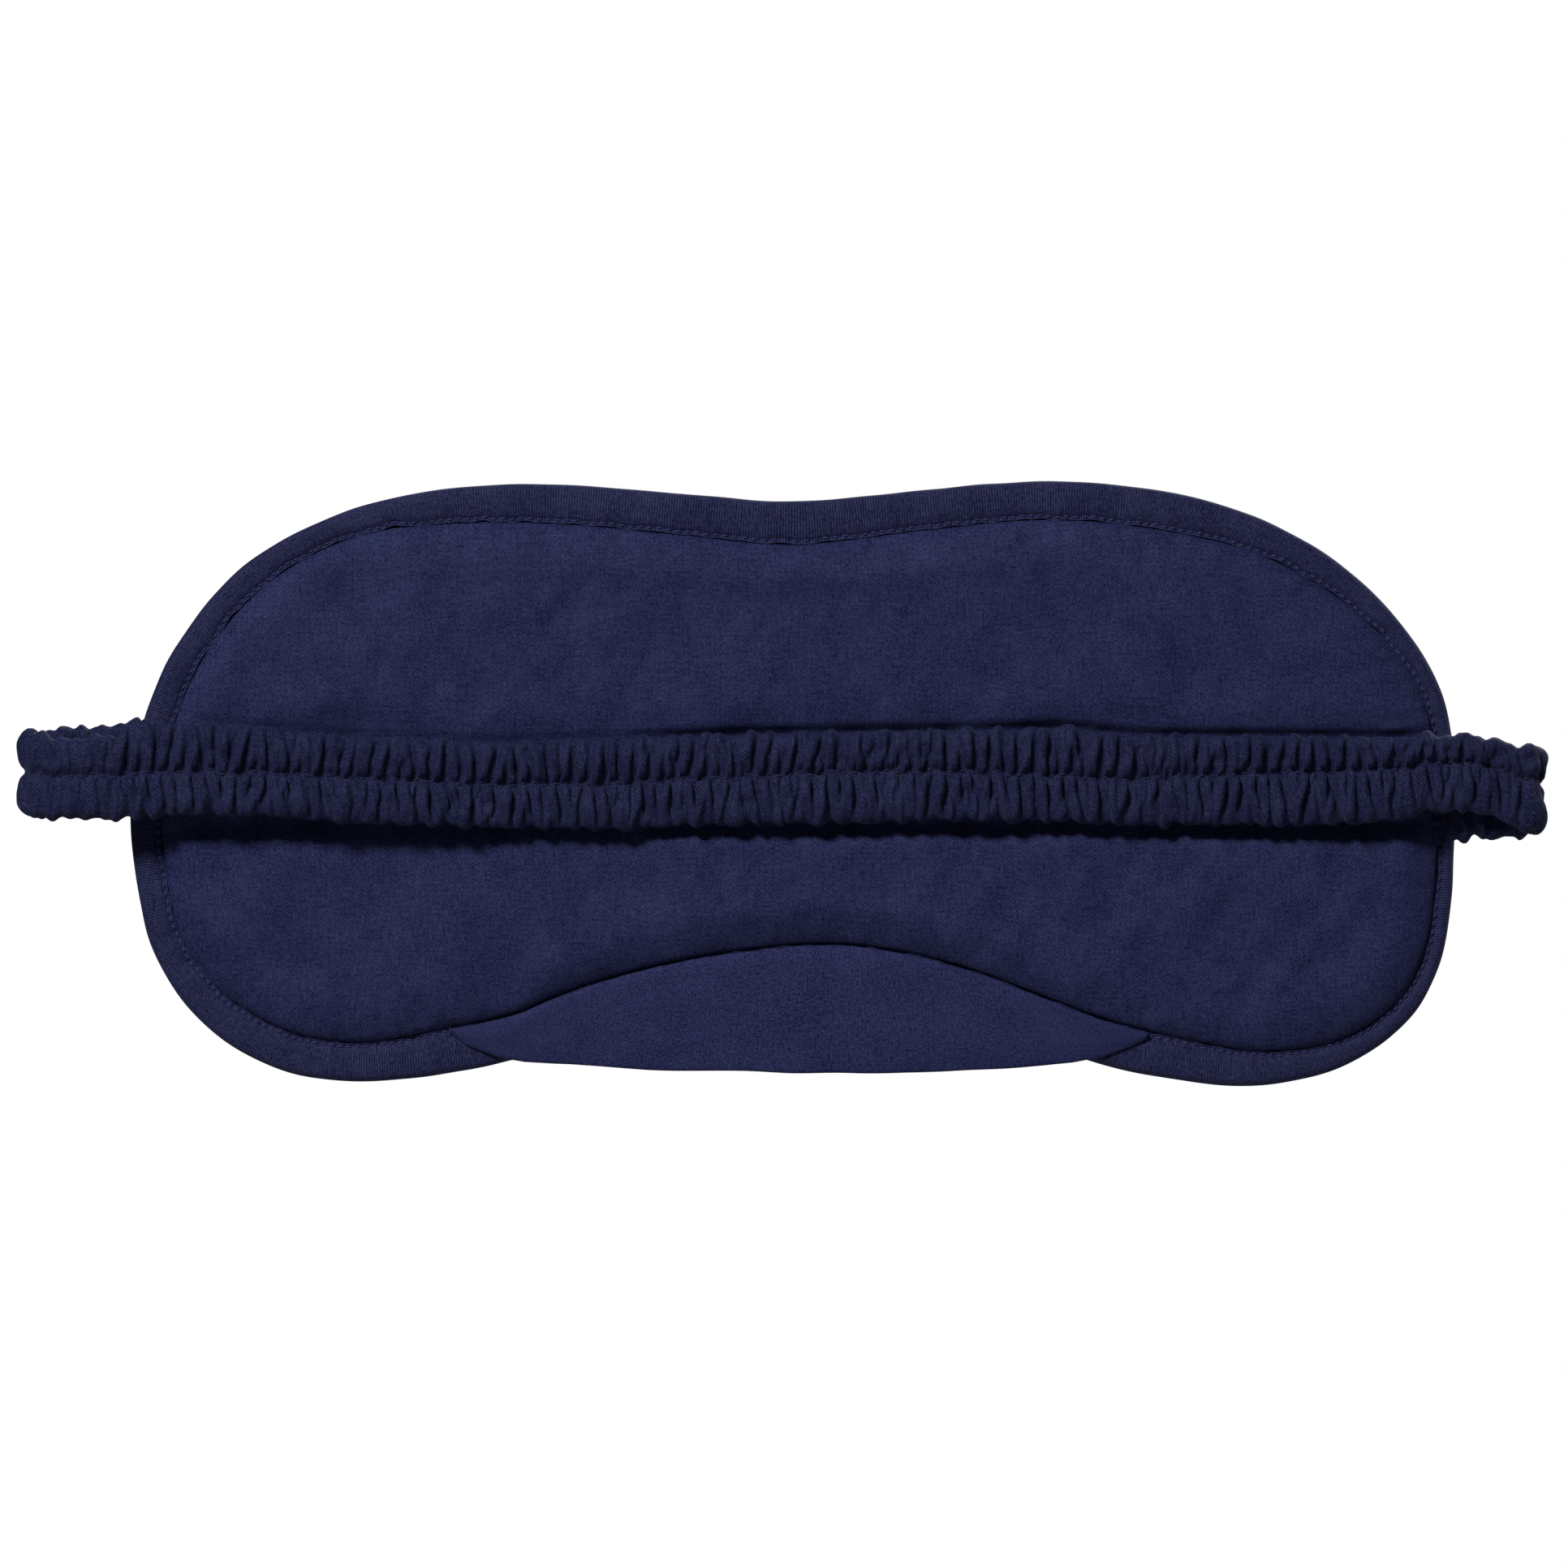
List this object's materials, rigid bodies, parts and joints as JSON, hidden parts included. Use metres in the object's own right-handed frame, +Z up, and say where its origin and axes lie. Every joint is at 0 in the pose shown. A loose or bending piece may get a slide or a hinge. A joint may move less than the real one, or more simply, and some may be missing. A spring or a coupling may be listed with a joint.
{
  "type": "sleep eye mask",
  "caption": "Padded fabric sleep mask with a bound edge, a light-blocking nose flap and a gathered elastic strap that opens into a loop.",
  "frame": {"origin": "middle of the front panel's flat outer face", "axes": "+X to the right seen from the face side, +Y out of the front panel away from the wearer, +Z up as worn"},
  "size_m": [0.2435, 0.0127, 0.0961],
  "materials": {
    "lining_twill": "fine navy twill, matte",
    "front_twill": "fine navy twill, matte",
    "binding_ribbed": "folded navy bias strip with a fine rib across it",
    "flap_knit": "fine smooth navy knit, folded edge",
    "strap_cloth": "fine navy plain cloth, gathered",
    "thread": "navy polyester sewing thread, slight sheen",
    "foam": "soft open-cell padding, matte",
    "blackout": "tight black lining cloth, matte",
    "elastic": "black woven elastic"
  },
  "bodies": {
    "mask_body": {"front_panel": "front_twill", "blackout_interlining": "blackout", "foam_core": "foam", "back_lining": "lining_twill", "edge_binding": "binding_ribbed", "binding_needle_thread": "thread", "binding_bobbin_thread": "thread", "nose_flap_upper": "flap_knit", "strap_bartack_left": "thread", "strap_bartack_right": "thread"},
    "flap_edge": {"nose_flap_free_edge": "flap_knit"},
    "tab_left": {"strap_cover_tab_left": "strap_cloth", "strap_elastic_tab_left": "elastic", "strap_stitch_tab_left": "thread"},
    "run_1": {"strap_cover_run_1": "strap_cloth", "strap_elastic_run_1": "elastic", "strap_stitch_run_1": "thread", "strap_cover_fold_left": "strap_cloth", "strap_elastic_fold_left": "elastic"},
    "run_2": {"strap_cover_run_2": "strap_cloth", "strap_elastic_run_2": "elastic", "strap_stitch_run_2": "thread"},
    "run_3": {"strap_cover_run_3": "strap_cloth", "strap_elastic_run_3": "elastic", "strap_stitch_run_3": "thread"},
    "run_4": {"strap_cover_run_4": "strap_cloth", "strap_elastic_run_4": "elastic", "strap_stitch_run_4": "thread", "strap_cover_fold_right": "strap_cloth", "strap_elastic_fold_right": "elastic"},
    "tab_right": {"strap_cover_tab_right": "strap_cloth", "strap_elastic_tab_right": "elastic", "strap_stitch_tab_right": "thread"}
  },
  "joints": [
    {"name": "nose_flap_lift", "type": "hinge", "parent": "mask_body", "child": "flap_edge", "pos_m": [0.00115, -0.0035, -0.0393], "axis": [-1, 0, 0.0087], "range_deg": [0, 90]},
    {"name": "strap_swing_left", "type": "hinge", "parent": "mask_body", "child": "tab_left", "pos_m": [-0.0996, -0.0049, 0.0029], "axis": [0, 0, 1], "range_deg": [0, 57.5]},
    {"name": "strap_fold_left", "type": "hinge", "parent": "tab_left", "child": "run_1", "pos_m": [-0.1226, -0.0074, 0.0012], "axis": [0, 0, 1], "range_deg": [-88.3, 0], "deforming": ["strap_cover_fold_left", "strap_elastic_fold_left"]},
    {"name": "strap_bend_left", "type": "hinge", "parent": "run_1", "child": "run_2", "pos_m": [-0.06, -0.0109, 0.0009], "axis": [0, 0, 1], "range_deg": [0, 21.3]},
    {"name": "strap_bend_centre", "type": "hinge", "parent": "run_2", "child": "run_3", "pos_m": [0, -0.0084, 0.0009], "axis": [0, 0, 1], "range_deg": [0, 21.9]},
    {"name": "strap_bend_right", "type": "hinge", "parent": "run_3", "child": "run_4", "pos_m": [0.06, -0.0102, 0.0009], "axis": [0, 0, 1], "range_deg": [0, 21.6]},
    {"name": "strap_fold_right", "type": "hinge", "parent": "run_4", "child": "tab_right", "pos_m": [0.1199, -0.0074, 0.0005], "axis": [0, 0, 1], "range_deg": [-93.2, 0], "deforming": ["strap_cover_fold_right", "strap_elastic_fold_right"]}
  ],
  "couplings": [
    {"joint": "strap_fold_left", "follows": "strap_swing_left", "ratio": -1.534},
    {"joint": "strap_bend_left", "follows": "strap_swing_left", "ratio": 0.369},
    {"joint": "strap_bend_centre", "follows": "strap_swing_left", "ratio": 0.378},
    {"joint": "strap_bend_right", "follows": "strap_swing_left", "ratio": 0.374},
    {"joint": "strap_fold_right", "follows": "strap_swing_left", "ratio": -1.619}
  ]
}
